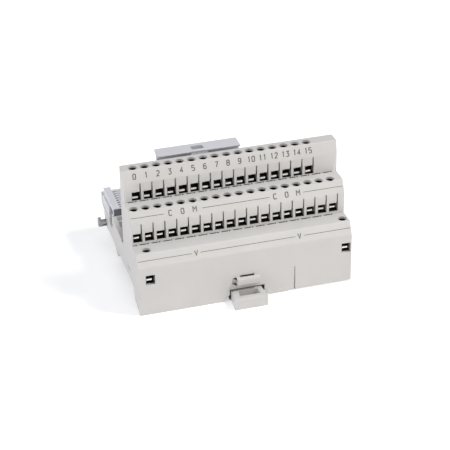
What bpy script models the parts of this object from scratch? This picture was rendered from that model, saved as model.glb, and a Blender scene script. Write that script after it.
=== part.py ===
"""Terminal base unit for a plug-in input/output module, on a 35 mm DIN rail.

Frame: metres, +X to the right along the terminal rows, -Y towards the user who faces the terminals, +Z away
from the rail. The origin is the centre of the face that rests on the rail. Sizes below are in millimetres.
"""

import math

import bmesh
import bpy
from mathutils import Matrix, Vector

MM = 0.001
GAP = 0.3
SMOOTH_ANGLE = math.radians(40)

# Overall
HALF_WIDTH = 47.0
WALL = 1.8
FRONT = -28.0
FOOT = -7.5
BLOCK_BACK = 0.1
RAISED_FOOT = 0.45

# Rail: 35 mm wide, lips 1 mm thick
RAIL_HALF = 18.0
BODY_BOTTOM = 0.8
RAIL_PAD_HALF = 3.0
RAIL_PAD_END = 15.5
HOOK_WIDTH = 3.2
HOOK_OUTER = 45.8
HOOK_TOP = 0.4
HOOK_ROOT_LIMIT = 44.6

# Terminals
PITCH = 5.08
ENTRY_WIDTH = 4.0
SCREW_HOLE_RADIUS = 1.85
SCREW_HEAD_RADIUS = 1.55
SCREW_SHANK_RADIUS = 1.1
SCREW_HEAD_HEIGHT = 1.8
SCREW_SUNK = 2.4
SCREW_SIDES = 12
SCREW_SLOT_WIDTH = 0.6
SCREW_SLOT_DEPTH = 0.8

# Each row: first entry's left edge, entries used, face y, face foot z, crease z, top front y, top z,
# entry bottom and top z, slot top z, screw offset from the entry's left edge, screw y, clamp z and the radius
# of the top front edge
ROWS = {
    "a": dict(left=-43.67, used=range(16), face=-7.02, foot=35.9, crease=44.8, lip=-5.5, top=50.14,
              low=36.3, high=40.4, slot=44.3, offset=1.57, screw=-3.3, clamp=37.2,
              radius=0.3),
    "b": dict(left=-46.25, used=range(18), face=-17.47, foot=20.96, crease=30.2, lip=-14.73, top=35.9,
              low=22.2, high=26.35, slot=30.7, offset=1.75, screw=-12.75, clamp=23.9,
              radius=0.9),
    "c": dict(left=-43.91, used=(0, 17), face=FRONT, crease=15.8, lip=-24.9, top=20.96,
              low=7.4, high=11.9, offset=2.0, screw=-22.2, clamp=9.3, radius=0.9),
}
ENTRY_DEPTH = {"a": 5.8, "b": 7.5, "c": 8.5}
SLOT_WIDTH = 0.6
SLOT_DEPTH = 1.0
CLAMP_WIDTH = 2.4
CLAMP_THICK = 0.7

# Tray
DECK_TOP = 9.2
DECK_BOTTOM = 7.6
SIDE_TOP = 14.0
REAR = 43.7
SEAT_PAD = 0.4
BOARD_LOW = 3.2
BOARD_HIGH = 4.8
COVER_LOW = 0.9
COVER_HIGH = 2.3

# Bus connectors, the same block and bay on the left and right
BUS_FRONT = 20.6
BUS_BACK = 37.2
BUS_LOW = 9.6
BUS_TOP = 17.8
BUS_INNER = 31.0
BUS_PITCH = 1.95
BUS_FIRST = 22.0
BUS_COUNT = 8
BUS_ROWS = (12.2, 15.2)
BUS_PIN_HALF = 0.25
ARM_BACK = 40.6
ARM_RIGHT = -43.3
SLIT_FRONT, SLIT_BACK = 22.0, 27.4

# Module connector and keyswitch in the tray
CONNECTOR = ((-8.0, 8.0), (30.0, 16.0))
KEY_CENTRE = (-22.0, 12.0)
KEY_RADIUS = 4.6

# Latch
LATCH_PIVOT = (51.5, 8.0)
LATCH_PIN_RADIUS = 1.5
LATCH_LEFT, LATCH_RIGHT = -19.1, 20.0
LATCH_TOP = 25.5

# Rail lock slide
LOCK_LEFT, LOCK_RIGHT = -7.1, 6.4
LOCK_FRONT, LOCK_NOSE = -35.9, -15.9
LOCK_FLARE = 0.65
GATE_LEFT, GATE_RIGHT = -7.6, 7.8
LOCK_LOW, LOCK_TOP = -7.5, -2.5


def clear_scene():
    for item in list(bpy.data.objects):
        bpy.data.objects.remove(item, do_unlink=True)


def material(name, colour, roughness, metallic=0.0):
    made = bpy.data.materials.new(name)
    made.use_nodes = True
    shader = made.node_tree.nodes["Principled BSDF"]
    shader.inputs["Base Color"].default_value = (*colour, 1.0)
    shader.inputs["Roughness"].default_value = roughness
    shader.inputs["Metallic"].default_value = metallic
    made.diffuse_color = (*colour, 1.0)
    return made


# ---------------------------------------------------------------- shapes: (points in mm, faces)

AXES = {"X": (1, 2, 0), "Y": (0, 2, 1), "Z": (0, 1, 2)}


def prism(outline, low, high, axis="X"):
    """A closed outline, in the two directions across the axis, drawn from low to high along it."""
    first, second, along = AXES[axis]
    points = []
    for level in (low, high):
        for a, b in outline:
            point = [0.0, 0.0, 0.0]
            point[first], point[second], point[along] = a, b, level
            points.append(tuple(point))
    count = len(outline)
    faces = [tuple(range(count)), tuple(range(2 * count - 1, count - 1, -1))]
    faces += [(i, (i + 1) % count, count + (i + 1) % count, count + i) for i in range(count)]
    return points, faces


def block(low, high):
    outline = [(low[0], low[1]), (high[0], low[1]), (high[0], high[1]), (low[0], high[1])]
    return prism(outline, low[2], high[2], "Z")


def circle(centre, radius, sides, turn=0.5):
    angles = [2 * math.pi * (i + turn) / sides for i in range(sides)]
    return [(centre[0] + radius * math.cos(a), centre[1] + radius * math.sin(a)) for a in angles]


def rod(centre, radius, low, high, axis="Z", sides=16):
    return prism(circle(centre, radius, sides), low, high, axis)


def turned(profile, centre, sides):
    """A solid of revolution about a Z axis: profile is (radius, z) from the bottom centre to the top centre."""
    points, faces, rings = [], [], []
    for radius, level in profile:
        rings.append(range(len(points), len(points) + sides))
        points += [(x, y, level) for x, y in circle(centre, radius, sides)]
    for lower, upper in zip(rings, rings[1:]):
        faces += [(lower[i], lower[(i + 1) % sides], upper[(i + 1) % sides], upper[i]) for i in range(sides)]
    faces += [tuple(reversed(rings[0])), tuple(rings[-1])]
    return points, faces


def coil(start, axis, radius, wire, turns, length, steps=10, sides=6, lead=(0.0, 0.0)):
    """A wire wound about an axis line from start, with straight end legs of the two lead lengths."""
    along = Vector(axis).normalized()
    across = Vector((0, 0, 1)) if abs(along.z) < 0.5 else Vector((1, 0, 0))
    third = along.cross(across)
    path = []
    count = int(turns * steps)
    for i in range(count + 1):
        angle = 2 * math.pi * turns * i / count
        offset = across * math.cos(angle) + third * math.sin(angle)
        path.append(Vector(start) + along * (length * i / count) + offset * radius)
    if lead[0]:
        path.insert(0, path[0] - third * lead[0])
    if lead[1]:
        end = 2 * math.pi * turns
        path.append(path[-1] + (third * math.cos(end) - across * math.sin(end)) * lead[1])
    points, faces = [], []
    for i, spot in enumerate(path):
        ahead = (path[min(i + 1, len(path) - 1)] - path[max(i - 1, 0)]).normalized()
        side = ahead.cross(along).normalized()
        up = side.cross(ahead)
        for k in range(sides):
            angle = 2 * math.pi * k / sides
            points.append(tuple(spot + (side * math.cos(angle) + up * math.sin(angle)) * wire))
    for i in range(len(path) - 1):
        a, b = i * sides, (i + 1) * sides
        faces += [(a + k, a + (k + 1) % sides, b + (k + 1) % sides, b + k) for k in range(sides)]
    faces += [tuple(range(sides)), tuple(reversed(range(len(points) - sides, len(points))))]
    return points, faces


# ---------------------------------------------------------------- objects


def mesh_object(name, shapes, origin=(0.0, 0.0, 0.0)):
    """One object from separate closed shapes, its own origin at the given point (mm)."""
    mesh = bpy.data.meshes.new(name)
    work = bmesh.new()
    for points, faces in shapes:
        made = [work.verts.new((Vector(p) - Vector(origin)) * MM) for p in points]
        for face in faces:
            work.faces.new([made[i] for i in face])
    bmesh.ops.recalc_face_normals(work, faces=work.faces[:])
    work.to_mesh(mesh)
    work.free()
    item = bpy.data.objects.new(name, mesh)
    item.location = Vector(origin) * MM
    bpy.context.scene.collection.objects.link(item)
    return item


def boolean(item, name, shapes, operation):
    tool = mesh_object(name, shapes)
    tool.hide_render = True
    tool.display_type = "WIRE"
    step = item.modifiers.new(name, "BOOLEAN")
    step.operation = operation
    step.solver = "EXACT"
    step.object = tool


def solid(name, start, finish, steps=(), origin=(0.0, 0.0, 0.0), smooth=False):
    """A named sub-part: a start shape, then steps of (operation, shapes), one Boolean each.

    The shapes inside one step don't touch each other.
    """
    item = mesh_object(name, [start], origin)
    for i, (operation, shapes) in enumerate(steps):
        boolean(item, f"{name}_step_{i}", shapes, operation)
    item.data.materials.append(finish)
    if smooth:
        item.data.shade_smooth()
        item.data.set_sharp_from_angle(angle=SMOOTH_ANGLE)
    return item


def both_sides(low, high):
    """The same block on the right and, mirrored, on the left."""
    mirrored = block((-high[0], low[1], low[2]), (-low[0], high[1], high[2]))
    return [block(low, high), mirrored]


# ---------------------------------------------------------------- terminals


def entry_left(row, index):
    return ROWS[row]["left"] + PITCH * index


def entry_back(row):
    return ROWS[row]["face"] + ENTRY_DEPTH[row]


def screw_centre(row, index):
    return entry_left(row, index) + ROWS[row]["offset"], ROWS[row]["screw"]


def each_terminal():
    for row, facts in ROWS.items():
        for index in facts["used"]:
            yield row, index, facts


def terminal_steps():
    """Wire entries, the narrow slots above them, the screw wells and the slots for the contacts' feet."""
    entries, slots, wells, feet = [], [], [], []
    for row, index, facts in each_terminal():
        left = entry_left(row, index)
        right = left + ENTRY_WIDTH
        face, back = facts["face"], entry_back(row)
        entries.append(block((left, face - 1, facts["low"]), (right, back, facts["high"])))
        if "slot" in facts:
            slots.append(block((right - SLOT_WIDTH, face - 1, facts["high"] - 0.5),
                               (right - 0.02, face + SLOT_DEPTH, facts["slot"])))
        wells.append(rod(screw_centre(row, index), SCREW_HOLE_RADIUS, facts["high"] - 0.4, facts["top"] + 1,
                         sides=SCREW_SIDES))
        feet.append(block((left + 1.1, back - 2.2, facts["low"] - 3.0),
                          (left + 2.7, back - 0.4, facts["low"] + 0.2)))
    return [("DIFFERENCE", entries), ("DIFFERENCE", slots), ("DIFFERENCE", wells), ("DIFFERENCE", feet)]


def make_terminal_screw(row, index, finish):
    """A slotted clamping screw that turns in place in its well."""
    facts = ROWS[row]
    x, y = screw_centre(row, index)
    head_top = facts["top"] - SCREW_SUNK
    neck = head_top - SCREW_HEAD_HEIGHT
    tip = facts["clamp"] + CLAMP_THICK + 0.35
    profile = [(SCREW_SHANK_RADIUS * 0.7, tip), (SCREW_SHANK_RADIUS, tip + 0.4), (SCREW_SHANK_RADIUS, neck),
               (SCREW_HEAD_RADIUS, neck), (SCREW_HEAD_RADIUS, head_top - 0.3),
               (SCREW_HEAD_RADIUS - 0.3, head_top)]
    half = SCREW_SLOT_WIDTH / 2
    slot = block((x - 3.0, y - half, head_top - SCREW_SLOT_DEPTH), (x + 3.0, y + half, head_top + 1.0))
    return solid(f"terminal_screw_{row}{index:02d}", turned(profile, (x, y), SCREW_SIDES), finish,
                 [("DIFFERENCE", [slot])], origin=(x, y, head_top), smooth=True)


def make_contact_set(name, row, spine, lead_low, finish):
    """The wire clamps of one row, joined by a strip below them, with leads down to the circuit board."""
    facts = ROWS[row]
    lefts = [entry_left(row, index) for index in facts["used"]]
    back = entry_back(row)
    front_y, back_y = back - 1.9, back - 0.7
    strip = block((lefts[0] + 1.4, front_y, spine[0]), (lefts[-1] + 2.4, back_y, spine[1]))
    legs = [block((left + 1.4, front_y, spine[0] + 0.2), (left + 2.4, back_y, facts["clamp"] + 0.5))
            for left in lefts]
    clamps = [block((left + 0.3, facts["face"] + 0.6, facts["clamp"]),
                    (left + 0.3 + CLAMP_WIDTH, back_y, facts["clamp"] + CLAMP_THICK)) for left in lefts]
    steps = [("UNION", legs), ("UNION", clamps)]
    if lead_low is not None:
        leads = [block((left + 1.4, front_y, lead_low), (left + 2.4, back_y, spine[0] + 0.3))
                 for left in lefts[1::4]]
        steps.append(("UNION", leads))
    return solid(name, strip, finish, steps)


# ---------------------------------------------------------------- housing


def rounded(before, corner, after, radius, steps=4):
    """The points of an arc that replaces an outline's corner."""
    middle = Vector(corner)
    back, ahead = (Vector(before) - middle).normalized(), (Vector(after) - middle).normalized()
    half = back.angle(ahead) / 2
    centre = middle + (back + ahead).normalized() * (radius / math.sin(half))
    start = middle + back * (radius / math.tan(half)) - centre
    end = middle + ahead * (radius / math.tan(half)) - centre
    turn = start.angle_signed(end)
    return [tuple(centre + Matrix.Rotation(-turn * i / steps, 2) @ start) for i in range(steps + 1)]


def block_profile():
    """The stepped side profile of the terminal block and the front wall, from the front foot up."""
    points = [(FRONT, FOOT)]
    for row in ("c", "b", "a"):
        facts = ROWS[row]
        if row != "c":
            points.append((facts["face"], facts["foot"]))
        crease, lip = (facts["face"], facts["crease"]), (facts["lip"], facts["top"])
        points.append(crease)
        points += rounded(crease, lip, (BLOCK_BACK, facts["top"]), facts["radius"])
    points.append((BLOCK_BACK, ROWS["a"]["top"]))
    return points


def side_profile():
    """The whole side wall: block, front foot, rail channel, rear end and the tray's low side."""
    foot_back = -RAIL_HALF - 0.2
    return block_profile() + [
        (BLOCK_BACK, 11.7), (3.0, 11.8), (20.3, SIDE_TOP), (37.5, SIDE_TOP + 0.4), (REAR, SIDE_TOP + 0.4),
        (REAR, 9.4), (38.5, 7.9), (38.5, 4.9), (37.8, BODY_BOTTOM), (foot_back, BODY_BOTTOM), (foot_back, -4.4),
    ]


def rear_hook(low, high):
    """A fixed hook that reaches under the rail's rear lip."""
    outline = [(18.3, HOOK_TOP), (18.3, -1.3), (16.2, -1.7), (16.2, -3.0), (18.6, -5.5), (21.5, -5.5),
               (23.2, HOOK_TOP)]
    return prism(outline, low, high)


def hook_root(low, high):
    """The neck that joins a hook to the bottom cover, kept clear of the side walls."""
    left, right = max(low + GAP, -HOOK_ROOT_LIMIT), min(high - GAP, HOOK_ROOT_LIMIT)
    return block((left, 18.6, -1.0), (right, 22.6, COVER_LOW + 0.5))


def housing_outside():
    """What stands out of the plain profile: the latch's two cheeks and the spring pocket's bulge."""
    cheek = [(37.9, 5.2), (43.0, 2.5), (55.0, 4.0), (55.0, 11.5), (51.5, 14.6), (42.3, 14.6)]
    cheeks = [prism(cheek, -24.0, -21.4), prism(cheek, 21.4, 24.0)]
    bulge = prism([(FRONT + 0.5, -0.1), (FRONT - 1.7, 0.5), (FRONT - 2.0, 1.2), (FRONT - 2.0, 3.4),
                   (FRONT - 1.6, 4.0), (FRONT + 0.5, 4.0)], -4.8, 5.3)
    return [("UNION", cheeks), ("UNION", [bulge])]


def housing_hollows():
    """The spaces below the deck and the rows, in the middle of the lower row, and above the deck."""
    inner = HALF_WIDTH - WALL
    under_rows = [(-26.2, -9.0), (-26.2, 6.2), (-15.9, 6.2), (-15.9, 20.4), (-5.4, 20.4), (-5.4, 34.4),
                  (-1.6, 34.4), (-1.6, DECK_BOTTOM)]
    under_deck = [(36.8, DECK_BOTTOM), (36.8, 3.0), (36.2, 0.5), (-19.9, 0.5), (-19.9, -9.0)]
    below = prism(under_rows + under_deck, -inner, inner)
    lower_row = prism([(-26.2, 6.0), (-26.2, 15.2), (-24.0, 19.2), (-19.0, 19.2), (-19.0, 6.0)], -38.3, 40.9)
    tray = prism([(BLOCK_BACK, DECK_TOP), (36.9, DECK_TOP), (38.5, 10.6), (REAR - WALL, 10.6),
                  (REAR - WALL, 30.0), (BLOCK_BACK, 30.0)], -inner, inner)
    return [("DIFFERENCE", [below]), ("DIFFERENCE", [lower_row]), ("DIFFERENCE", [tray])]


def housing_inside():
    """The bus connector bays, the module's seat pad and guide ribs, and the lock slide's guides."""
    bay_fronts = both_sides((29.6, BUS_FRONT - 1.8, DECK_BOTTOM + 0.4), (HALF_WIDTH, BUS_FRONT - GAP, 11.9))
    bay_backs = both_sides((29.6, BUS_BACK + GAP, DECK_BOTTOM + 0.4), (HALF_WIDTH, BUS_BACK + 1.8, 17.2))
    guides = both_sides((40.0, 1.5, DECK_TOP - 0.5), (42.0, 18.0, 11.2))
    pad = block((-12.0, 22.0, DECK_TOP - 0.5), (12.0, 34.0, DECK_TOP + SEAT_PAD))
    ribs = [block((GATE_LEFT - 1.8, -27.0, -7.2), (GATE_LEFT - 0.2, -19.0, 0.6)),
            block((GATE_RIGHT + 0.2, -27.0, -7.2), (GATE_RIGHT + 1.8, -19.0, 0.6))]
    return [("UNION", bay_fronts + bay_backs + guides + ribs + [pad])]


def gate_flare(side, outward):
    """The widened lower corner of the lock's gate."""
    tip = side + 2.5 * outward
    outline = [(side - outward, -4.0), (side, -4.3), (tip, -7.3), (tip, -9.0), (side - outward, -9.0)]
    return prism(outline, FRONT - 1.0, -24.2, "Y")


def housing_openings():
    low, high = CONNECTOR
    window = block((low[0] - 0.4, low[1] - 0.4, DECK_BOTTOM - 1), (high[0] + 0.4, high[1] + 0.4, DECK_TOP + 1))
    key_hole = rod(KEY_CENTRE, 3.2, DECK_BOTTOM - 1, DECK_TOP + 1, sides=20)
    left_bay = block((-50.0, BUS_FRONT - GAP, BUS_LOW - GAP), (ARM_RIGHT + 0.4, ARM_BACK + GAP, 20.5))
    right_bay = block((38.8, BUS_FRONT - GAP, BUS_LOW - GAP), (50.0, ARM_BACK + GAP, 20.5))
    pin_hole = rod(LATCH_PIVOT, LATCH_PIN_RADIUS + GAP, -30.0, 30.0, "X", 16)
    lock_gate = block((GATE_LEFT, FRONT - 1.0, -9.0), (GATE_RIGHT, -17.0, -1.9))
    nose_gate = block((GATE_LEFT, -19.95, -2.5), (GATE_RIGHT, -17.0, 2.0))
    flares = [gate_flare(GATE_LEFT, -1), gate_flare(GATE_RIGHT, 1)]
    raised = block((18.3, FRONT - 1.0, -9.0), (HALF_WIDTH + 1.0, -17.0, FOOT + RAISED_FOOT))
    hook_slot = block((-48.0, 33.9, 1.4), (-44.8, 36.7, 4.5))
    mate_slot = block((44.8, 33.6, 1.4), (48.0, 36.8, 6.4))
    spring_pocket = block((-3.1, FRONT - 0.45, 0.6), (3.1, -25.0, 4.35))
    slit_end = block((2.6, FRONT - 0.5, 3.4), (3.25, FRONT + 1.0, 4.6))
    core_recess = block((-6.3, FRONT - 3.0, 0.7), (-4.6, FRONT + 0.7, 3.5))
    side_slit = block((-48.0, SLIT_FRONT, 7.0), (-45.7, SLIT_BACK, BUS_LOW))
    corner_notches = both_sides((44.0, 2.95, 11.3), (48.0, 3.65, 12.4))
    grip = [(-12.8, 5.45), (-6.1, 6.3), (-6.1, 6.85), (-12.8, 5.95)]
    grooves = [prism(grip, -48.0, -46.2), prism(grip, 46.2, 48.0)]
    groups = [[window, key_hole], [left_bay, right_bay], [side_slit], [pin_hole], [lock_gate], [nose_gate],
              flares, [raised], [hook_slot, mate_slot], [spring_pocket], [slit_end, core_recess],
              corner_notches + grooves]
    return [("DIFFERENCE", group) for group in groups]


def make_housing(finish):
    steps = (housing_outside() + housing_hollows() + housing_inside() + housing_openings() + terminal_steps())
    return solid("housing", prism(side_profile(), -HALF_WIDTH, HALF_WIDTH), finish, steps)


def make_bottom_cover(finish):
    """The plate under the circuit board, with the three pads that rest on the rail and four rail hooks."""
    plate = block((-44.9, -19.6, COVER_LOW), (44.9, 35.0, COVER_HIGH))
    pads = [block((x - RAIL_PAD_HALF, -RAIL_PAD_END, 0.0), (x + RAIL_PAD_HALF, RAIL_PAD_END, COVER_LOW + 0.5))
            for x in (-32.0, 0.0, 32.0)]
    hook_lefts = (-HOOK_OUTER, -15.2, 12.0, HOOK_OUTER - HOOK_WIDTH)
    roots = [hook_root(x, x + HOOK_WIDTH) for x in hook_lefts]
    hooks = [rear_hook(x, x + HOOK_WIDTH) for x in hook_lefts]
    rests = [block((x - 1.5, y - 1.5, COVER_HIGH - 0.5), (x + 1.5, y + 1.5, BOARD_LOW - GAP))
             for x in (-38.0, 0.0, 38.0) for y in (-14.0, 28.0)]
    return solid("bottom_cover", plate, finish,
                 [("UNION", pads), ("UNION", roots), ("UNION", hooks), ("UNION", rests)])


# ---------------------------------------------------------------- electronics and tray fittings


def make_circuit_board(finish):
    board = prism([(-44.6, -25.6), (-4.6, -25.6), (-4.6, -19.6), (4.4, -19.6), (4.4, -25.6), (44.6, -25.6),
                   (44.6, 33.0), (-44.6, 33.0)], BOARD_LOW, BOARD_HIGH, "Z")
    return solid("circuit_board", board, finish)


def make_module_connector(finish):
    low, high = CONNECTOR
    body = block((low[0], low[1], BOARD_HIGH + GAP), (high[0], high[1], 15.2))
    socket = block((low[0] + 2.0, 11.1, 9.5), (high[0] - 2.0, 12.9, 16.0))
    keying = block((low[0] + 14.0, 14.6, 12.0), (low[0] + 16.5, 17.0, 16.0))
    return solid("module_connector", body, finish, [("DIFFERENCE", [socket, keying])])


def make_key_housing(finish):
    x, y = KEY_CENTRE
    body = prism(circle(KEY_CENTRE, 7.2, 8), DECK_TOP + GAP, 12.6, "Z")
    seat = rod(KEY_CENTRE, KEY_RADIUS + GAP, 10.6, 14.0, sides=24)
    bore = rod(KEY_CENTRE, 2.7, 8.0, 11.0, sides=16)
    mark = block((x - 0.3, y + 5.3, 12.1), (x + 0.3, y + 6.4, 13.5))
    return solid("key_housing", body, finish, [("DIFFERENCE", [seat, mark]), ("DIFFERENCE", [bore])])


def make_key_dial(finish):
    x, y = KEY_CENTRE
    profile = [(2.4, BOARD_HIGH + GAP), (2.4, 10.9), (KEY_RADIUS, 10.9), (KEY_RADIUS, 12.9),
               (KEY_RADIUS - 0.4, 13.3)]
    slot = block((x - 0.6, y - 3.2, 12.1), (x + 0.6, y + 3.8, 14.0))
    return solid("key_dial", turned(profile, KEY_CENTRE, 24), finish, [("DIFFERENCE", [slot])],
                 origin=(x, y, 12.0), smooth=True)


# ---------------------------------------------------------------- bus connectors


def bus_lines():
    return [BUS_FIRST + BUS_PITCH * i for i in range(BUS_COUNT)]


def make_bus_slider(finish):
    """The sliding female connector: contact slots on top, pin sockets in its left end, a rim to the rear."""
    left_side = [(-46.9, BUS_LOW), (-46.9, SIDE_TOP + 0.5), (-46.4, SIDE_TOP + 0.9), (-46.4, BUS_TOP)]
    profile = left_side + [(-BUS_INNER, BUS_TOP), (-BUS_INNER, BUS_LOW)]
    arm = prism(left_side + [(ARM_RIGHT, BUS_TOP), (ARM_RIGHT, BUS_LOW)], BUS_BACK - 0.5, ARM_BACK, "Y")
    slots = [block((-43.3, y - 0.45, 14.0), (-34.9, y + 0.45, 19.0)) for y in bus_lines()]
    trough = block((-35.2, BUS_FRONT + 0.8, 14.0), (-33.0, BUS_BACK - 0.8, 19.0))
    sockets = [block((-48.0, y - 0.45, z - 0.45), (-41.5, y + 0.45, z + 0.45))
               for y in bus_lines() for z in BUS_ROWS]
    panel = block((-46.1, BUS_FRONT - 1.0, 13.8), (-31.6, BUS_FRONT + 0.5, 17.3))
    groove = block((-43.0, BUS_FRONT - 1.0, 12.0), (-30.0, BUS_FRONT + 0.6, 12.9))
    notch = block((-48.0, SLIT_FRONT, BUS_LOW - 1.0), (-45.0, SLIT_BACK, 15.9))
    cuts = [slots, [trough], [panel, groove], [notch], sockets]
    steps = [("UNION", [arm])] + [("DIFFERENCE", group) for group in cuts]
    return solid("bus_slider", prism(profile, BUS_FRONT, BUS_BACK, "Y"), finish, steps,
                 origin=(-BUS_INNER, 28.9, 13.7))


def make_bus_slider_contacts(finish):
    spine = block((-34.4, BUS_FRONT + 1.2, 14.4), (-33.5, BUS_BACK - 1.2, 16.9))
    blades = [block((-42.2, y - 0.14, 15.8), (-34.2, y + 0.14, 17.5)) for y in bus_lines()]
    return solid("bus_slider_contacts", spine, finish, [("UNION", blades)], origin=(-BUS_INNER, 28.9, 13.7))


def make_bus_header(finish):
    body = block((BUS_INNER, BUS_FRONT, BUS_LOW), (38.4, BUS_BACK, BUS_TOP))
    relief = block((BUS_INNER + 2.0, BUS_FRONT + 2.0, 15.5), (36.4, BUS_BACK - 2.0, 19.0))
    return solid("bus_header", body, finish, [("DIFFERENCE", [relief])])


def make_bus_header_pins(finish):
    plate = block((38.7, BUS_FRONT + 0.6, 10.4), (39.5, BUS_BACK - 0.6, 17.0))
    pins = [block((39.3, y - BUS_PIN_HALF, z - BUS_PIN_HALF), (45.4, y + BUS_PIN_HALF, z + BUS_PIN_HALF))
            for y in bus_lines() for z in BUS_ROWS]
    return solid("bus_header_pins", plate, finish, [("UNION", pins)])


def make_cap_plug(finish):
    """The protective cap over the right-hand pins; it pulls off to the right."""
    body = block((40.2, BUS_FRONT + 0.1, BUS_LOW + 0.1), (48.4, BUS_BACK - 0.1, BUS_TOP - 0.1))
    hollow = block((39.0, BUS_FRONT + 0.7, BUS_LOW + 1.0), (47.0, BUS_BACK - 0.7, BUS_TOP - 1.0))
    grip = [block((47.6, y, BUS_LOW - 1.0), (49.0, y + 1.0, BUS_TOP + 1.0))
            for y in (BUS_FRONT + 3.0 + 4.0 * i for i in range(3))]
    return solid("cap_plug", body, finish, [("DIFFERENCE", [hollow]), ("DIFFERENCE", grip)],
                 origin=(40.2, 28.9, 13.7))


def make_side_hook(finish):
    """The L-shaped hook at the left that catches in the neighbouring base's slot."""
    stem = prism([(-50.8, 1.7), (-45.3, 1.7), (-45.3, 2.7), (-43.9, 2.7), (-43.9, 4.2), (-49.5, 4.2),
                  (-49.3, 5.6), (-50.4, 5.6), (-50.8, 5.2)], 34.2, 36.4, "Y")
    flange = block((-44.9, 33.4, 2.8), (-44.0, 35.9, 5.6))
    return solid("side_hook", stem, finish, [("UNION", [flange])])


# ---------------------------------------------------------------- latch and rail lock


def make_latch(finish):
    """The sprung lever at the rear that holds the module down; its thumb ledge is pushed to the rear."""
    y, z = LATCH_PIVOT
    middle = (LATCH_LEFT + LATCH_RIGHT) / 2
    barrel = rod(LATCH_PIVOT, 3.4, -21.0, 21.0, "X", 24)
    plate = prism([(y - 1.1, z), (y + 1.1, z), (y + 1.1, 24.4), (y - 1.1, 24.4)], LATCH_LEFT, LATCH_RIGHT)
    ledge = prism([(48.9, 24.0), (48.4, 24.15), (47.6, LATCH_TOP - 0.12), (47.7, LATCH_TOP), (55.2, LATCH_TOP),
                   (55.4, LATCH_TOP - 0.2), (55.4, 24.5), (53.0, 24.0)], LATCH_LEFT, LATCH_RIGHT)
    nose = prism([(50.7, 16.2), (50.7, 20.6), (47.4, 20.6), (47.0, 20.0)], LATCH_LEFT + 1.5, LATCH_RIGHT - 1.5)
    tongue = block((middle - 4.1, 47.5, 20.2), (middle + 4.1, 50.8, 25.2))
    boss = block((middle - 4.1, 52.2, 21.0), (middle + 4.1, 53.9, 24.8))
    bore = rod(LATCH_PIVOT, LATCH_PIN_RADIUS + GAP, -25.0, 25.0, "X", 16)
    spring_space = block((-8.0, 46.0, 3.0), (8.0, 57.0, 12.6))
    window = block((middle - 2.9, 49.9, 22.2), (middle + 2.7, 53.0, 27.0))
    steps = [("UNION", [shape]) for shape in (plate, ledge, nose, tongue, boss)]
    steps += [("DIFFERENCE", [shape]) for shape in (bore, spring_space, window)]
    return solid("latch", barrel, finish, steps, origin=(0.0, y, z))


def make_latch_pin(finish):
    return solid("latch_pin", rod(LATCH_PIVOT, LATCH_PIN_RADIUS, -23.8, 23.8, "X", 16), finish, smooth=True)


def make_latch_spring(finish):
    y, z = LATCH_PIVOT
    shape = coil((-6.0, y, z), (1, 0, 0), 2.3, 0.3, 7.5, 12.0, steps=10, sides=6, lead=(3.5, 3.5))
    return solid("latch_spring", shape, finish, smooth=True)


def make_rail_lock(finish):
    """The slide that hooks under the rail's front lip; a screwdriver in its slot pulls it out."""
    left, right = LOCK_LEFT - LOCK_FLARE, LOCK_RIGHT + LOCK_FLARE
    outline = [(left, LOCK_FRONT), (right, LOCK_FRONT), (LOCK_RIGHT, -28.6), (LOCK_RIGHT, LOCK_NOSE),
               (LOCK_LEFT, LOCK_NOSE), (LOCK_LEFT, -28.6)]
    nose = prism([(-19.5, -3.0), (-18.0, -1.35), (-16.5, -1.35), (LOCK_NOSE, -2.0), (LOCK_NOSE, -3.0)],
                 LOCK_LEFT, LOCK_RIGHT)
    post = block((-2.5, -21.9, -3.0), (2.1, -20.3, 3.6))
    slot = prism([(-4.5, -32.75), (4.55, -32.75), (4.2, -28.55), (-4.0, -28.55)], -9.0, 0.0, "Z")
    relief = block((-9.0, -18.6, -9.0), (9.0, -14.0, -5.6))
    return solid("rail_lock", prism(outline, LOCK_LOW, LOCK_TOP, "Z"), finish,
                 [("UNION", [nose]), ("UNION", [post]), ("DIFFERENCE", [slot]), ("DIFFERENCE", [relief])],
                 origin=(-0.15, -26.0, -5.0))


def make_rail_lock_spring(finish):
    shape = coil((-0.15, -27.9, 2.1), (0, 1, 0), 1.2, 0.22, 5, 5.5, steps=10, sides=6)
    return solid("rail_lock_spring", shape, finish, smooth=True)


# ---------------------------------------------------------------- assembly


def main():
    clear_scene()
    grey = material("housing_grey", (0.66, 0.65, 0.645), 0.55)
    cover_grey = material("cover_grey", (0.6, 0.59, 0.585), 0.6)
    part_grey = material("fitting_grey", (0.6, 0.6, 0.62), 0.5)
    dark = material("connector_dark", (0.12, 0.125, 0.13), 0.5)
    board_green = material("board_green", (0.03, 0.16, 0.08), 0.45)
    plated = material("plated_contact", (0.78, 0.77, 0.72), 0.25, 1.0)
    steel = material("steel", (0.62, 0.62, 0.62), 0.3, 1.0)

    make_housing(grey)
    make_bottom_cover(cover_grey)
    make_circuit_board(board_green)
    make_module_connector(dark)
    make_key_housing(part_grey)
    make_key_dial(dark)
    make_bus_slider(part_grey)
    make_bus_slider_contacts(plated)
    make_bus_header(dark)
    make_bus_header_pins(plated)
    make_cap_plug(part_grey)
    make_side_hook(part_grey)
    make_latch(part_grey)
    make_latch_pin(steel)
    make_latch_spring(steel)
    make_rail_lock(part_grey)
    make_rail_lock_spring(steel)
    make_contact_set("signal_contact_strip", "a", (32.6, 33.8), BOARD_HIGH + GAP, plated)
    make_contact_set("common_bus_bar", "b", (18.4, 19.8), BOARD_HIGH + GAP, plated)
    make_contact_set("supply_bus_bar", "c", (5.2, 5.8), None, plated)
    for row, index, _ in each_terminal():
        make_terminal_screw(row, index, steel)


main()
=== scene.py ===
"""Looks of the terminal base unit: moulded plastic, printed legends, plated clamps and slotted screws.

Lengths are in millimetres in the part's own frame and are turned to metres where a mesh is made.
"""

import math

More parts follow.
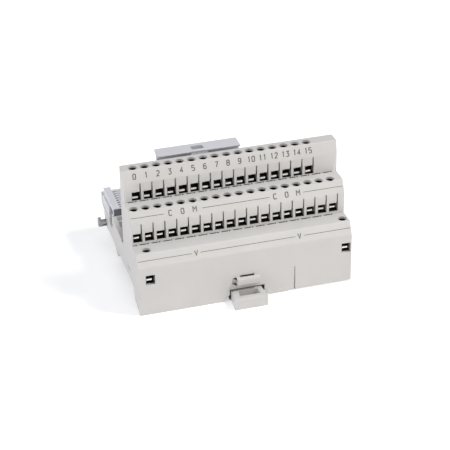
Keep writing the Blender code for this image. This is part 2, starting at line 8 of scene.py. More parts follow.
import bmesh
import bpy
from mathutils import Matrix, Vector


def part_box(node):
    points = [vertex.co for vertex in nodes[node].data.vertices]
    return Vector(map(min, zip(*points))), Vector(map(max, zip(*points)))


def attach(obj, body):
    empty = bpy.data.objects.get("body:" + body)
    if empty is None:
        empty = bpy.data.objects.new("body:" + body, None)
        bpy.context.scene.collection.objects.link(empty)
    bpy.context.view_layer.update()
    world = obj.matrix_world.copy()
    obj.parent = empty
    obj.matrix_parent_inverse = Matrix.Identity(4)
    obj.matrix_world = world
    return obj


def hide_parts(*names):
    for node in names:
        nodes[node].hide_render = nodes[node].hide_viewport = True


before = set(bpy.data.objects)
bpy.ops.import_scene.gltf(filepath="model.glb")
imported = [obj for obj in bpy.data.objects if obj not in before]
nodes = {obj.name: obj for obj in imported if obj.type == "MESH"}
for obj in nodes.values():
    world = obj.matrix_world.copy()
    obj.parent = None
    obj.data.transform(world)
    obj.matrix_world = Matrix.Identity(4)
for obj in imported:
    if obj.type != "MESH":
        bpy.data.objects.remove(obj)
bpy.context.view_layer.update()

MM = 0.001
BASE = "base"
CORNER_WELD = 2e-6  # metres
FLAT_ANGLE = math.radians(0.6)  # faces closer than this to one plane are merged
SHARP_ANGLE = math.radians(40)
ROUND_SIDES = 48


def box_mm(node):
    low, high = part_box(node)
    return low / MM, high / MM


# ---------------------------------------------------------------- materials


def nodes_of(name):
    made = bpy.data.materials.new(name)
    made.use_nodes = True
    tree = made.node_tree
    return made, tree, tree.nodes["Principled BSDF"]


def noise(tree, coords, scale, detail=3.0, roughness=0.6):
    item = tree.nodes.new("ShaderNodeTexNoise")
    item.inputs["Scale"].default_value = scale
    item.inputs["Detail"].default_value = detail
    item.inputs["Roughness"].default_value = roughness
    tree.links.new(coords.outputs["Object"], item.inputs["Vector"])
    return item


def ramp(tree, source, stops):
    item = tree.nodes.new("ShaderNodeValToRGB")
    item.color_ramp.elements[0].position, item.color_ramp.elements[0].color = stops[0]
    item.color_ramp.elements[1].position, item.color_ramp.elements[1].color = stops[-1]
    for position, colour in stops[1:-1]:
        item.color_ramp.elements.new(position).color = colour
    tree.links.new(source, item.inputs["Fac"])
    return item


def shade(colour, factor):
    return (colour[0] * factor, colour[1] * factor, colour[2] * factor, 1.0)


def bump(tree, shader, sources, distance):
    """Adds the (noise, weight) sources into one height and feeds it to the shader's normal."""
    total = None
    for source, weight in sources:
        scaled = tree.nodes.new("ShaderNodeMath")
        scaled.operation = "MULTIPLY"
        scaled.inputs[1].default_value = weight
        tree.links.new(source, scaled.inputs[0])
        if total is None:
            total = scaled
            continue
        joined = tree.nodes.new("ShaderNodeMath")
        tree.links.new(total.outputs[0], joined.inputs[0])
        tree.links.new(scaled.outputs[0], joined.inputs[1])
        total = joined
    item = tree.nodes.new("ShaderNodeBump")
    item.inputs["Distance"].default_value = distance
    item.inputs["Strength"].default_value = 1.0
    tree.links.new(total.outputs[0], item.inputs["Height"])
    tree.links.new(item.outputs["Normal"], shader.inputs["Normal"])


def plastic(name, colour, roughness=0.5, grain=0.000012, specular=0.35):
    """Spark-eroded moulded plastic: fine grain, a faint mottle and slightly uneven gloss."""
    made, tree, shader = nodes_of(name)
    coords = tree.nodes.new("ShaderNodeTexCoord")
    mottle = noise(tree, coords, 90.0, 4.0)
    broad = noise(tree, coords, 18.0, 2.0)
    fine = noise(tree, coords, 2600.0, 3.0, 0.7)
    coarse = noise(tree, coords, 900.0, 2.0)
    tint = ramp(tree, mottle.outputs["Fac"], [(0.3, shade(colour, 0.975)), (0.7, shade(colour, 1.02))])
    wash = ramp(tree, broad.outputs["Fac"], [(0.3, (0.985, 0.985, 0.99, 1)), (0.7, (1.0, 1.0, 0.995, 1))])
    mix = tree.nodes.new("ShaderNodeMix")
    mix.data_type = "RGBA"
    mix.blend_type = "MULTIPLY"
    mix.inputs["Factor"].default_value = 1.0
    tree.links.new(tint.outputs["Color"], mix.inputs["A"])
    tree.links.new(wash.outputs["Color"], mix.inputs["B"])
    tree.links.new(mix.outputs["Result"], shader.inputs["Base Color"])
    gloss = tree.nodes.new("ShaderNodeMapRange")
    gloss.inputs["To Min"].default_value = roughness - 0.05
    gloss.inputs["To Max"].default_value = roughness + 0.07
    tree.links.new(coarse.outputs["Fac"], gloss.inputs["Value"])
    tree.links.new(gloss.outputs["Result"], shader.inputs["Roughness"])
    shader.inputs["Specular IOR Level"].default_value = specular
    bump(tree, shader, [(fine.outputs["Fac"], 1.0), (coarse.outputs["Fac"], 0.6)], grain)
    return made


def metal(name, colour, roughness=0.3, stretch=(1.0, 1.0, 1.0), grain=0.000006, metallic=1.0):
    """Plated or bright metal with drawn streaks and a little uneven tarnish."""
    made, tree, shader = nodes_of(name)
    coords = tree.nodes.new("ShaderNodeTexCoord")
    mapping = tree.nodes.new("ShaderNodeMapping")
    mapping.inputs["Scale"].default_value = stretch
    tree.links.new(coords.outputs["Object"], mapping.inputs["Vector"])
    streak = tree.nodes.new("ShaderNodeTexNoise")
    streak.inputs["Scale"].default_value = 1500.0
    streak.inputs["Detail"].default_value = 3.0
    tree.links.new(mapping.outputs["Vector"], streak.inputs["Vector"])
    cloud = noise(tree, coords, 300.0, 3.0)
    tint = ramp(tree, cloud.outputs["Fac"], [(0.3, shade(colour, 0.85)), (0.7, shade(colour, 1.05))])
    tree.links.new(tint.outputs["Color"], shader.inputs["Base Color"])
    shader.inputs["Metallic"].default_value = metallic
    gloss = tree.nodes.new("ShaderNodeMapRange")
    gloss.inputs["To Min"].default_value = roughness - 0.08
    gloss.inputs["To Max"].default_value = roughness + 0.12
    tree.links.new(streak.outputs["Fac"], gloss.inputs["Value"])
    tree.links.new(gloss.outputs["Result"], shader.inputs["Roughness"])
    bump(tree, shader, [(streak.outputs["Fac"], 1.0)], grain)
    return made


def printed(name, colour):
    """Pad-printed ink: a little uneven, slightly glossier than the plastic."""
    made, tree, shader = nodes_of(name)
    coords = tree.nodes.new("ShaderNodeTexCoord")
    patch = noise(tree, coords, 1200.0, 4.0)
    tint = ramp(tree, patch.outputs["Fac"], [(0.3, shade(colour, 0.85)), (0.7, shade(colour, 1.15))])
    tree.links.new(tint.outputs["Color"], shader.inputs["Base Color"])
    shader.inputs["Roughness"].default_value = 0.42
    bump(tree, shader, [(patch.outputs["Fac"], 1.0)], 0.000004)
    return made


def solder_mask(name):
    made, tree, shader = nodes_of(name)
    coords = tree.nodes.new("ShaderNodeTexCoord")
    weave = noise(tree, coords, 700.0, 3.0)
    tint = ramp(tree, weave.outputs["Fac"], [(0.35, (0.012, 0.1, 0.045, 1)), (0.65, (0.02, 0.15, 0.065, 1))])
    tree.links.new(tint.outputs["Color"], shader.inputs["Base Color"])
    shader.inputs["Roughness"].default_value = 0.3
    bump(tree, shader, [(weave.outputs["Fac"], 1.0)], 0.00001)
    return made


# ---------------------------------------------------------------- meshes


def block(low, high):
    corners = [(x, y, z) for z in (low[2], high[2]) for x, y in
               ((low[0], low[1]), (high[0], low[1]), (high[0], high[1]), (low[0], high[1]))]
    return corners, [(3, 2, 1, 0), (4, 5, 6, 7), (0, 1, 5, 4), (1, 2, 6, 5), (2, 3, 7, 6), (3, 0, 4, 7)]


def mesh_piece(name, shapes):
    """One mesh object from (points in mm, faces) shapes."""
    mesh = bpy.data.meshes.new(name)
    work = bmesh.new()
    for points, faces in shapes:
        made = [work.verts.new(Vector(p) * MM) for p in points]
        for face in faces:
            work.faces.new([made[i] for i in face])
    bmesh.ops.recalc_face_normals(work, faces=work.faces[:])
    work.to_mesh(mesh)
    work.free()
    piece = bpy.data.objects.new(name, mesh)
    bpy.context.scene.collection.objects.link(piece)
    return piece


def apply_modifiers(piece):
    """Replaces a piece's mesh with what its modifiers make of it."""
    bpy.context.view_layer.update()
    shown = piece.evaluated_get(bpy.context.evaluated_depsgraph_get())
    finished = bpy.data.meshes.new_from_object(shown)
    piece.modifiers.clear()
    piece.data = finished


def carve(piece, shapes):
    """Cuts the shapes, which don't touch each other, out of the piece."""
    tool = mesh_piece("tool", shapes)
    step = piece.modifiers.new("carve", "BOOLEAN")
    step.operation = "DIFFERENCE"
    step.solver = "EXACT"
    step.object = tool
    apply_modifiers(piece)
    bpy.data.objects.remove(tool)


def tidy(work):
    """Joins split corners and merges flat neighbouring triangles."""
    bmesh.ops.remove_doubles(work, verts=work.verts[:], dist=CORNER_WELD)
    bmesh.ops.dissolve_limit(work, angle_limit=FLAT_ANGLE, verts=work.verts[:], edges=work.edges[:])


def copy_of(node):
    """A separate, cleaned copy of a CAD node's shape."""
    work = bmesh.new()
    work.from_mesh(nodes[node].data)
    tidy(work)
    mesh = bpy.data.meshes.new(node + "_look")
    work.to_mesh(mesh)
    work.free()
    piece = bpy.data.objects.new(node + "_look", mesh)
    bpy.context.scene.collection.objects.link(piece)
    return piece


def round_edges(piece, width, weight=None, angle=30):
    """Rounds the edges sharper than the angle; weight(middle in mm, edge) scales an edge's width."""
    work = bmesh.new()
    work.from_mesh(piece.data)
    layer = work.edges.layers.float.new("bevel_weight_edge")
    for edge in work.edges:
        if len(edge.link_faces) == 2 and edge.calc_face_angle(0.0) > math.radians(angle):
            middle = (edge.verts[0].co + edge.verts[1].co) / 2 / MM
            edge[layer] = weight(middle, edge) if weight else 1.0
    work.to_mesh(piece.data)
    work.free()
    step = piece.modifiers.new("rounding", "BEVEL")
    step.limit_method = "WEIGHT"
    step.width = width * MM
    step.segments = 2
    step.use_clamp_overlap = False
    step.miter_outer = "MITER_SHARP"
    apply_modifiers(piece)
    piece.data.shade_smooth()
    piece.data.set_sharp_from_angle(angle=SHARP_ANGLE)
    step = piece.modifiers.new("normals", "WEIGHTED_NORMAL")
    step.keep_sharp = True
    step.weight = 60
    apply_modifiers(piece)


def finish_piece(piece, body, slot, finish, *replaced):
    """Gives a piece its material and its body, and hides the CAD nodes that it stands for; the slot is not
    used.
    """
    piece.data.materials.clear()
    piece.data.materials.append(finish)
    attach(piece, body)
    if replaced:
        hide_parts(*replaced)


def refined(node, body, slot, finish, width):
    """A CAD node's shape with rounded edges, standing for the node."""
    piece = copy_of(node)
    round_edges(piece, width)
    finish_piece(piece, body, slot, finish, node)


# ---------------------------------------------------------------- terminal rows

PITCH = 5.08
ENTRY_WIDTH = 4.0
WELL_RADIUS = 1.86
# The ring of painted shade in each screw well reaches up to this far below the row's top
WELL_SHADE_SUNK = 1.1
# Each row of terminals:
#   left    the first entry's left edge, x         used    the places, 5.08 mm apart, that hold an entry
#   offset  a screw's x from its entry's left edge screw   the screws' y
#   face    y of the upright face                  foot    z of the face's foot, with the groove
#   crease  z where the legend slope starts        lip     y where the slope meets the top
#   top     z of the row's top                     low, high, depth   an entry's floor, roof and depth
#    floor   where the painted-shade sheet under an entry starts behind the face
#   clamp   z of the clamp bar's underside         dots    x of the first dot in the groove
ROWS = {
    "a": dict(left=-43.67, used=range(16), offset=1.57, screw=-3.3, face=-7.02, foot=35.9, crease=44.8,
              lip=-5.5, top=50.14, low=36.3, high=40.4, depth=5.8, floor=0.35, clamp=37.2, dots=-42.1),
    "b": dict(left=-46.25, used=range(18), offset=1.75, screw=-12.75, face=-17.47, foot=20.96, crease=30.2,
              lip=-14.73, top=35.9, low=22.2, high=26.35, depth=7.5, floor=0.35, clamp=23.9, dots=-45.1),
    "c": dict(left=-43.91, used=(0, 17), offset=2.0, screw=-22.2, face=-28.0, crease=15.8, lip=-24.9,
              top=20.96, low=7.4, high=11.9, depth=8.5, floor=1.3, clamp=9.3),
}


def entry_left(row, index):
    return ROWS[row]["left"] + PITCH * index


def well_centre(row, index):
    return entry_left(row, index) + ROWS[row]["offset"], ROWS[row]["screw"]


def slope_frame(row):
    """Origin, up-slope direction and outward normal of the row's sloped legend face."""
    facts = ROWS[row]
    origin = Vector((0.0, facts["face"], facts["crease"]))
    up = Vector((0.0, facts["lip"] - facts["face"], facts["top"] - facts["crease"])).normalized()
    return origin, up, Vector((0.0, -up.z, up.y))


# ---------------------------------------------------------------- housing

SIDE = 47.0  # the outer walls stand this far left and right of the middle
FRONT = -28.0
DASH_LEFT, DASH_RIGHT, DOT_REACH = 3.5, 0.6, 0.35  # from the middle of a dot at a row's foot
DASH_LIMIT = -46.4  # the first dash stops inside the left wall
DOT_MORE = 0.12  # a dot's groove is this much larger than a dash's
SEAM = ((21.1, -28.3, -8.0), (21.5, -27.4, 4.6))
# Gap round, and thickness of, the dark sheets of painted shade in the wire entries
SHADE_SHEET_GAP = 0.04
SHADE_SHEET_THICK = 0.12
BAR_HEIGHT = 0.72  # from the clamp bar's underside to the dark painted-shade sheet on it


def in_well(x, y):
    for row, facts in ROWS.items():
        if abs(y - facts["screw"]) < WELL_RADIUS + 0.1:
            for index in facts["used"]:
                centre_x, centre_y = well_centre(row, index)
                if math.hypot(x - centre_x, y - centre_y) < WELL_RADIUS + 0.05:
                    return True
    return False


def housing_weight(middle, edge):
    """How much of the full rounding an edge gets: well and entry edges little, the outside most."""
    x, y, z = middle
    length = edge.calc_length() / MM
    if in_well(x, y) and z > 14:
        return 0.2
    if length < 0.9:
        return 0.0
    for facts in ROWS.values():
        on_face = abs(y - facts["face"]) < 0.01
        if on_face and facts["low"] - 0.01 < z < facts["crease"] - 0.1 and abs(x) < SIDE - 0.1:
            return 0.15
        if "foot" in facts and abs(y - facts["face"]) < 0.8 and abs(z - facts["foot"]) < 0.5:
            return 0.0
        if on_face and abs(z - facts["crease"]) < 0.01:
            return 1.0
    inside_terminals = abs(x) < 45.0 and y < 0 and z > 5.5
    at_the_gate = abs(x) < 12.0 and y < -16.0 and z < 0.5
    at_the_hook_slot = abs(x) > 44.0 and 33.0 < y < 37.6 and 1.0 < z < 7.5
    on_the_tray = y > 1.0 and z > 4.0
    if inside_terminals:
        return 0.0
    if at_the_gate:
        return 0.15
    if at_the_hook_slot:
        return 0.2
    if on_the_tray:
        return 0.5
    return 0.8 if abs(abs(x) - SIDE) < 0.01 or abs(y - FRONT) < 0.01 else 0.4


def each_foot_mark():
    """The left and right ends of the groove stretches and dots at the foot of the two upper rows."""
    for row in ("a", "b"):
        facts = ROWS[row]
        for index in range(18):
            dot = facts["dots"] + PITCH * index
            yield facts, max(dot - DASH_LEFT, DASH_LIMIT), dot - DASH_RIGHT, 0.0
            yield facts, dot - DOT_REACH, dot + DOT_REACH, DOT_MORE


def foot_marks():
    """Short grooves at the foot of the two upper rows, each with a wider dot at its right end."""
    dashes, dots = [], []
    for facts, left, right, more in each_foot_mark():
        y, z = facts["face"], facts["foot"]
        cut = block((left, y - 0.3 - more, z - 0.9 - more), (right, y + 0.7, z + 0.2 + more / 3))
        (dots if more else dashes).append(cut)
    return dashes, dots


def make_foot_shadows(finish):
    """Dark painted shade inside the grooves at the rows' feet."""
    shapes = []
    for facts, left, right, more in each_foot_mark():
        y, z = facts["face"], facts["foot"]
        shapes.append(block((left + 0.03, y - 0.26 - more, z - 0.86), (right - 0.03, y + 0.66, z - 0.1)))
        shapes.append(block((left + 0.03, y + 0.12, z - 0.09), (right - 0.03, y + 0.66, z + 0.17 + more / 3)))
    finish_piece(mesh_piece("foot_groove_shade", shapes), BASE, "dark_connector", finish)


def circle(centre, radius):
    """Points around a centre, (x, y), counter-clockwise."""
    return [(centre[0] + radius * math.cos(a), centre[1] + radius * math.sin(a))
            for a in (2 * math.pi * i / ROUND_SIDES for i in range(ROUND_SIDES))]


def wells():
    """Round wells over the screws, just outside the faceted ones."""
    shapes = []
    count = ROUND_SIDES
    for row, facts in ROWS.items():
        for index in facts["used"]:
            ring = circle(well_centre(row, index), WELL_RADIUS)
            low, high = facts["high"] - 0.3, facts["top"] + 1.0
            points = [(x, y, low) for x, y in ring] + [(x, y, high) for x, y in ring]
            faces = [tuple(reversed(range(count))), tuple(range(count, 2 * count))]
            faces += [(i, (i + 1) % count, count + (i + 1) % count, count + i) for i in range(count)]
            shapes.append((points, faces))
    return shapes


def make_housing(finish):
    """The grey moulding, with round wells, the seam on its front and the grooves at the rows' feet cut in."""
    piece = copy_of("housing")
    dashes, dots = foot_marks()
    for shapes in (wells(), [block(*SEAM)], dashes, dots):
        carve(piece, shapes)
    work = bmesh.new()
    work.from_mesh(piece.data)
    tidy(work)
    work.to_mesh(piece.data)
    work.free()
    round_edges(piece, 0.4, housing_weight, 28)
    finish_piece(piece, BASE, "housing", finish, "housing")


def tube(centre, outer, inner, low, high):
    """A short upright tube."""
    sides = ROUND_SIDES
    points, faces = [], []
    for radius, level in ((outer, low), (outer, high), (inner, high), (inner, low)):
        points += [(x, y, level) for x, y in circle(centre, radius)]
    for ring in range(4):
        here, after = ring * sides, (ring + 1) % 4 * sides
        faces += [(here + i, here + (i + 1) % sides, after + (i + 1) % sides, after + i)
                  for i in range(sides)]
    return points, faces


def make_cages(finish):
    """Dark sheets of painted shade that line every wire entry, with rings of painted shade inside the screw
    wells.
    """
    for row, facts in ROWS.items():
        shapes, well_shade_rings = [], []
        for index in facts["used"]:
            left = entry_left(row, index) + SHADE_SHEET_GAP
            right = left + ENTRY_WIDTH - 2 * SHADE_SHEET_GAP
            back = facts["face"] + facts["depth"] - 0.05
            low, high = facts["low"] + SHADE_SHEET_GAP, facts["high"] - SHADE_SHEET_GAP
            shapes += cage(left, right, facts["face"], facts["floor"], back, low, high)
            # The dark sheet laid on each clamp bar is painted shade too.
            cover = facts["clamp"] + BAR_HEIGHT
            shapes.append(block((left + 0.14, facts["face"] + 1.1, cover),
                                (left + 2.9, back - 0.7, cover + SHADE_SHEET_THICK)))
            well_shade_rings.append(tube(well_centre(row, index), WELL_RADIUS - 0.02, WELL_RADIUS - 0.14,
                                facts["top"] - 3.2, facts["top"] - WELL_SHADE_SUNK))
        # Both pieces are painted shade.
        finish_piece(mesh_piece(f"entry_shade_row_{row}", shapes), BASE, "dark_connector", finish)
        finish_piece(mesh_piece(f"well_shade_ring_row_{row}", well_shade_rings), BASE, "dark_connector", finish)


def cage(left, right, face, floor, back, low, high):
    """Painted-shade sheets: floor, roof and left wall from just behind the face; the right wall only from 3
    mm deep.
    """
    thick = SHADE_SHEET_THICK
    walls = [((left, face + 0.35, low), (left + thick, back, high)),
             ((right - thick, face + 3.0, low + thick), (right, back, high - thick)),
             ((left + thick, face + 0.35, high - thick), (right, back, high)),
             ((left + thick, face + floor, low), (right, back, low + thick)),
             ((left + thick, back - thick, low + thick), (right - thick, back, high - thick))]
    return [block(*wall) for wall in walls]


def make_gate_lining(finish):
    """Dark painted shade inside the lock's gate, seen through the gap round the slide."""
    front, back, foot, spring_line = -27.65, -19.98, -7.2, -2.3
    roof = block((-7.55, front, spring_line), (7.75, back, -1.93))
    left_cheek = block((-7.57, front, foot), (-7.27, back, spring_line - 0.01))
    right_cheek = block((6.6, front, foot), (7.77, back, spring_line - 0.01))
    finish_piece(mesh_piece("gate_shade_sheets", [roof, left_cheek, right_cheek]), BASE, "dark_connector", finish)


def make_slider_panel(finish, shade_paint):
    """Painted shade in the bus slider: a dark sheet seen in its front window, side slit and groove, and
    darker pits in its contact slots.
    """
    low, high = box_mm("bus_slider")
    panel = block((low.x + 0.95, low.y + 0.3, 13.9), (-31.8, low.y + 0.48, 17.2))
    groove = block((-42.9, low.y + 0.35, 12.05), (-31.2, low.y + 0.55, 12.85))
    slit = block((-45.9, low.y + 1.5, 9.7), (-45.1, low.y + 6.7, 15.8))
    first, step, half = 22.0, 1.95, 0.42
    pits = [block((-43.25, first + step * i - half, 14.05), (-42.3, first + step * i + half, high.z - 0.25))
            for i in range(8)]
    finish_piece(mesh_piece("slider_window_shade", [panel, groove, slit]), "bus_slider", "fitting", finish)
    finish_piece(mesh_piece("slider_slot_shade", pits), "bus_slider", "dark_connector", shade_paint)


# ---------------------------------------------------------------- printed legends

# Strokes on a grid 1 wide and 2 high
GLYPHS = {
    "0": [[(0, .25), (0, 1.75), (.25, 2), (.75, 2), (1, 1.75), (1, .25), (.75, 0), (.25, 0), (0, .25)]],
    "1": [[(.2, 1.7), (.55, 2), (.55, 0)]],
    "2": [[(0, 1.7), (.25, 2), (.75, 2), (1, 1.7), (1, 1.3), (0, 0), (1, 0)]],
    "3": [[(0, 2), (1, 2), (.5, 1.2), (.8, 1.15), (1, .9), (1, .25), (.75, 0), (.2, 0), (0, .2)]],
    "4": [[(.75, 0), (.75, 2), (0, .6), (1, .6)]],
    "5": [[(1, 2), (0, 2), (0, 1.15), (.75, 1.15), (1, .9), (1, .25), (.75, 0), (0, 0)]],
    "6": [[(1, 1.8), (.8, 2), (.3, 2), (0, 1.6), (0, .25), (.25, 0), (.75, 0), (1, .25), (1, .9),
           (.75, 1.15), (0, 1.1)]],
    "7": [[(0, 2), (1, 2), (.4, 0)]],
    "8": [[(.25, 1.1), (0, 1.35), (0, 1.75), (.25, 2), (.75, 2), (1, 1.75), (1, 1.35), (.75, 1.1), (.25, 1.1),
           (0, .85), (0, .25), (.25, 0), (.75, 0), (1, .25), (1, .85), (.75, 1.1)]],
    "9": [[(0, .2), (.2, 0), (.7, 0), (1, .4), (1, 1.75), (.75, 2), (.25, 2), (0, 1.75), (0, 1.1),
           (.25, .85), (1, .9)]],
    "C": [[(1, 1.7), (.75, 2), (.25, 2), (0, 1.7), (0, .3), (.25, 0), (.75, 0), (1, .3)]],
    "M": [[(0, 0), (0, 2), (.5, 1.0), (1, 2), (1, 0)]],
    "V": [[(0, 2), (.5, 0), (1, 2)]],
}
GLYPHS["O"] = GLYPHS["0"]
INK_WIDTH = 0.38
INK_RISE = 0.03
INK_SUNK = 0.02
DIGIT_SIZE = (1.12, 2.25)
DIGIT_GAP = 0.75
# Where the letters and the rules between them stand along X, and how far up the slope
COMMON_LETTERS = ((-29.6, "C"), (-24.3, "O"), (-19.0, "M"), (16.2, "C"), (21.4, "O"), (26.5, "M"))
COMMON_RULES = ((-46.5, -32.3), (-15.8, 13.8), (28.7, 46.6))
SUPPLY_LETTERS = (-21.6, 23.8)
SUPPLY_RULES = ((-46.6, -23.5), (-19.8, 22.0), (25.8, 46.6))
NUMBERS_UP, COMMON_UP, COMMON_RULE_UP, SUPPLY_UP, SUPPLY_RULE_UP = 2.7, 3.4, 3.35, 3.0, 2.95


def ribbon(path, width):
    """A flat stroke of constant width along a path of 2D points, as (points, faces) in 2D."""
    closed = path[0] == path[-1]
    spots = [Vector(p) for p in (path[:-1] if closed else path)]
    count = len(spots)
    points = []
    for i, spot in enumerate(spots):
        ways = []  # directions into and out of this point
        if closed or i > 0:
            ways.append((spot - spots[(i - 1) % count]).normalized())
        if closed or i < count - 1:
            ways.append((spots[(i + 1) % count] - spot).normalized())
        sides = [Vector((-w.y, w.x)) for w in ways]
        across = sum(sides, Vector((0.0, 0.0)))
        across = across.normalized() if across.length > 0.2 else sides[0]
        reach = width / 2 / max(0.45, across.dot(sides[0]))
        points += [spot + across * reach, spot - across * reach]
    last = count if closed else count - 1
    return points, [tuple((2 * i + k) % (2 * count) for k in (0, 1, 3, 2)) for i in range(last)]


def inked(row, strokes, x, v, width, height):
    """Strokes, drawn on the glyph grid, laid on a row's slope with their middle at x and v, as thin slabs."""
    origin, up, out = slope_frame(row)
    shapes = []
    for stroke in strokes:
        path = [((a - 0.5) * width, (b - 1.0) * height / 2) for a, b in stroke]
        flat, faces = ribbon(path, INK_WIDTH)
        shapes.append(slab([origin + Vector((x + p.x, 0, 0)) + up * (v + p.y) for p in flat], faces, out))
    return shapes


def slab(points, faces, out):
    """Flat faces given a thin body that stands just out of the surface."""
    count = len(points)
    both = [tuple(p - out * INK_SUNK) for p in points] + [tuple(p + out * INK_RISE) for p in points]
    solid = [tuple(reversed(face)) for face in faces] + [tuple(i + count for i in face) for face in faces]
    edges = {}
    for face in faces:
        for a, b in zip(face, face[1:] + face[:1]):
            edges[(a, b)] = True
    for a, b in edges:
        if (b, a) not in edges:
            solid.append((a, b, b + count, a + count))
    return both, solid


def rule(row, left, right, v, width=0.2):
    origin, up, out = slope_frame(row)
    corners = [(left, v - width / 2), (right, v - width / 2), (right, v + width / 2), (left, v + width / 2)]
    return slab([origin + Vector((x, 0, 0)) + up * w for x, w in corners], [(0, 1, 2, 3)], out)


def make_legends(ink):
    """The numbers of the upper row, and the letters and rules of the two lower ones."""
    numbers, common, supply = [], [], []
    for index in ROWS["a"]["used"]:
        x = entry_left("a", index) + ROWS["a"]["offset"]
        text = str(index)
        for place, digit in enumerate(text):
            offset = (place - (len(text) - 1) / 2) * (DIGIT_SIZE[0] + DIGIT_GAP)
            numbers += inked("a", GLYPHS[digit], x + offset, NUMBERS_UP, *DIGIT_SIZE)
    for x, letter in COMMON_LETTERS:
        common += inked("b", GLYPHS[letter], x, COMMON_UP, 1.5 if letter == "M" else 1.2, 2.2)
    common += [rule("b", *ends, COMMON_RULE_UP) for ends in COMMON_RULES]
    for x in SUPPLY_LETTERS:
        supply += inked("c", GLYPHS["V"], x, SUPPLY_UP, 1.3, 2.0)
    supply += [rule("c", *ends, SUPPLY_RULE_UP) for ends in SUPPLY_RULES]
    for name, shapes in (("legend_numbers", numbers), ("legend_common", common), ("legend_supply", supply)):
        finish_piece(mesh_piece(name, shapes), BASE, "housing", ink)


# ---------------------------------------------------------------- camera, light and floor

# Solved from the photo's edges
CAMERA_PLACE = Vector((-167.13, -588.63, 375.28))
CAMERA_AHEAD = Vector((0.23313, 0.82836, -0.50938))
CAMERA_ROLL = math.radians(-0.92)
FOCAL = 130.6
WORLD_STRENGTH = 0.27
FLOOR_TOP = -7.52  # just under the lowest point of the part
FLOOR_REACH = 3000


def make_camera():
    ahead = CAMERA_AHEAD.normalized()
    level = ahead.cross(Vector((0, 0, 1))).normalized()
    above = level.cross(ahead)
    right = level * math.cos(CAMERA_ROLL) + above * math.sin(CAMERA_ROLL)
    up = right.cross(ahead)
    turn = Matrix((right, up, -ahead)).transposed().to_4x4()
    data = bpy.data.cameras.new("camera")
    data.lens = FOCAL
    data.sensor_width = 36.0
    data.clip_start = 0.05
    item = bpy.data.objects.new("camera", data)
    item.matrix_world = Matrix.Translation(CAMERA_PLACE * MM) @ turn
    bpy.context.scene.collection.objects.link(item)
    bpy.context.scene.camera = item


def area_light(name, place, target, size, power, colour):
    data = bpy.data.lights.new(name, "AREA")
    data.size = size
    data.energy = power
    data.color = colour
    item = bpy.data.objects.new(name, data)
    item.location = place
    item.rotation_euler = (Vector(target) - Vector(place)).to_track_quat("-Z", "Y").to_euler()
    bpy.context.scene.collection.objects.link(item)


def make_world():
    """A white tent, warmer at the horizon and cooler overhead."""
    world = bpy.data.worlds.new("studio")
    world.use_nodes = True
    tree = world.node_tree
    coords = tree.nodes.new("ShaderNodeTexCoord")
    split = tree.nodes.new("ShaderNodeSeparateXYZ")
    tree.links.new(coords.outputs["Generated"], split.inputs["Vector"])
    sky = ramp(tree, split.outputs["Z"], [(0.1, (0.99, 0.97, 0.945, 1)), (0.75, (0.91, 0.94, 1.0, 1))])
    tree.links.new(sky.outputs["Color"], tree.nodes["Background"].inputs["Color"])
    tree.nodes["Background"].inputs["Strength"].default_value = WORLD_STRENGTH
    bpy.context.scene.world = world


def make_floor():
    slab_of_floor = block((-FLOOR_REACH, -FLOOR_REACH, -30), (FLOOR_REACH, FLOOR_REACH, FLOOR_TOP))
    floor = mesh_piece("floor", [slab_of_floor])
    made, tree, shader = nodes_of("floor")
    coords = tree.nodes.new("ShaderNodeTexCoord")
    paper = noise(tree, coords, 400.0)
    tint = ramp(tree, paper.outputs["Fac"], [(0.3, (0.7, 0.7, 0.7, 1)), (0.7, (0.72, 0.72, 0.72, 1))])
    tree.links.new(tint.outputs["Color"], shader.inputs["Base Color"])
    tree.links.new(tint.outputs["Color"], shader.inputs["Emission Color"])
    shader.inputs["Emission Strength"].default_value = 0.6
    shader.inputs["Roughness"].default_value = 0.9
    floor.data.materials.append(made)


# name, place, target, size, power, colour
LIGHTS = (
    ("key", (0.82, -0.38, 1.07), (0, 0, 0.01), 0.35, 15.5, (1.0, 0.985, 0.96)),
    ("front", (-0.12, -1.3, 0.42), (0, 0, 0.01), 0.7, 5.0, (1.0, 0.96, 0.91)),
    ("overhead", (0.0, 0.25, 1.2), (0, 0, 0.01), 0.6, 2.2, (0.85, 0.91, 1.0)),
    ("left", (-1.25, -0.1, 0.55), (0, 0, 0.02), 0.6, 9.5, (0.95, 0.95, 1.0)),
)


def make_studio():
    bpy.context.scene.view_settings.view_transform = "Standard"
    make_world()
    for light in LIGHTS:
        area_light(*light)
    make_floor()


# ---------------------------------------------------------------- assembly


def dress(node, finish):
    """Gives a CAD node that keeps its own shape its material."""
    data = nodes[node].data
    data.materials.clear()
    data.materials.append(finish)


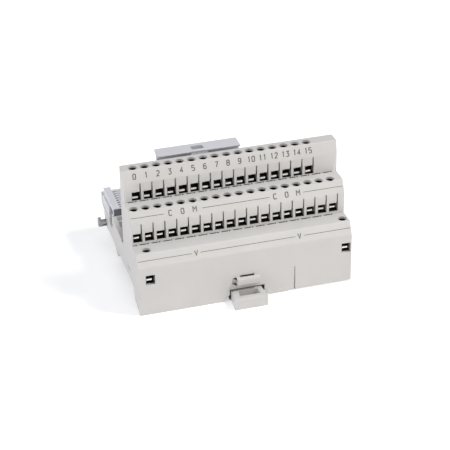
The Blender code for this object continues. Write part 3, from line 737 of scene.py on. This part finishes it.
def main():
    grey = plastic("housing_plastic", (0.5, 0.488, 0.476))
    cover = plastic("cover_plastic", (0.46, 0.45, 0.44))
    cool = plastic("fitting_plastic", (0.54, 0.54, 0.57), 0.45)
    hook = plastic("hook_plastic", (0.35, 0.35, 0.35), 0.5)
    dark = plastic("connector_plastic", (0.03, 0.031, 0.034), 0.45)
    # Near-dark painted shade for the wire entries, screw wells, foot grooves, lock gate and slider slots
    shade_paint = plastic("shade_paint_black", (0.006, 0.006, 0.006), 0.6)
    dial = plastic("dial_plastic", (0.3, 0.3, 0.31), 0.45)
    contact = metal("tin_plate", (0.93, 0.92, 0.9), 0.42, (0.3, 1.0, 1.0), metallic=0.55)
    steel = metal("spring_steel", (0.6, 0.6, 0.6), 0.25, (1.0, 0.25, 1.0))
    zinc = metal("zinc_plate", (0.5, 0.5, 0.52), 0.34)
    # Dark bluish painted shade for the bus slider's front window, side slit and groove
    slider_shade_paint = plastic("slider_shade_plastic", (0.13, 0.14, 0.155), 0.5)
    ink = printed("legend_ink", (0.07, 0.065, 0.06))
    board = solder_mask("board_mask")

    make_housing(grey)
    make_cages(shade_paint)
    make_legends(ink)
    make_foot_shadows(shade_paint)
    make_gate_lining(shade_paint)
    make_slider_panel(slider_shade_paint, shade_paint)
    refined("bottom_cover", BASE, "cover", cover, 0.25)
    refined("circuit_board", BASE, "board", board, 0.1)
    refined("module_connector", BASE, "dark_connector", dark, 0.25)
    refined("key_housing", BASE, "fitting", cool, 0.25)
    refined("key_dial", "key_dial", "dial", dial, 0.2)
    refined("bus_slider", "bus_slider", "fitting", cool, 0.12)
    refined("bus_slider_contacts", "bus_slider", "contact", contact, 0.04)
    refined("bus_header", BASE, "dark_connector", dark, 0.25)
    refined("bus_header_pins", BASE, "contact", contact, 0.06)
    refined("cap_plug", "cap_plug", "fitting", cool, 0.2)
    refined("side_hook", BASE, "hook", hook, 0.2)
    refined("latch", "module_latch", "latch", cool, 0.3)
    refined("rail_lock", "rail_lock", "latch", grey, 0.3)
    for node in ("signal_contact_strip", "common_bus_bar", "supply_bus_bar"):
        refined(node, BASE, "contact", contact, 0.08)
    for node in ("latch_pin", "latch_spring", "rail_lock_spring"):
        dress(node, steel)
    for row, facts in ROWS.items():
        for index in facts["used"]:
            node = f"terminal_screw_{row}{index:02d}"
            refined(node, node, "screw", zinc, 0.08)
    make_camera()
    make_studio()


main()
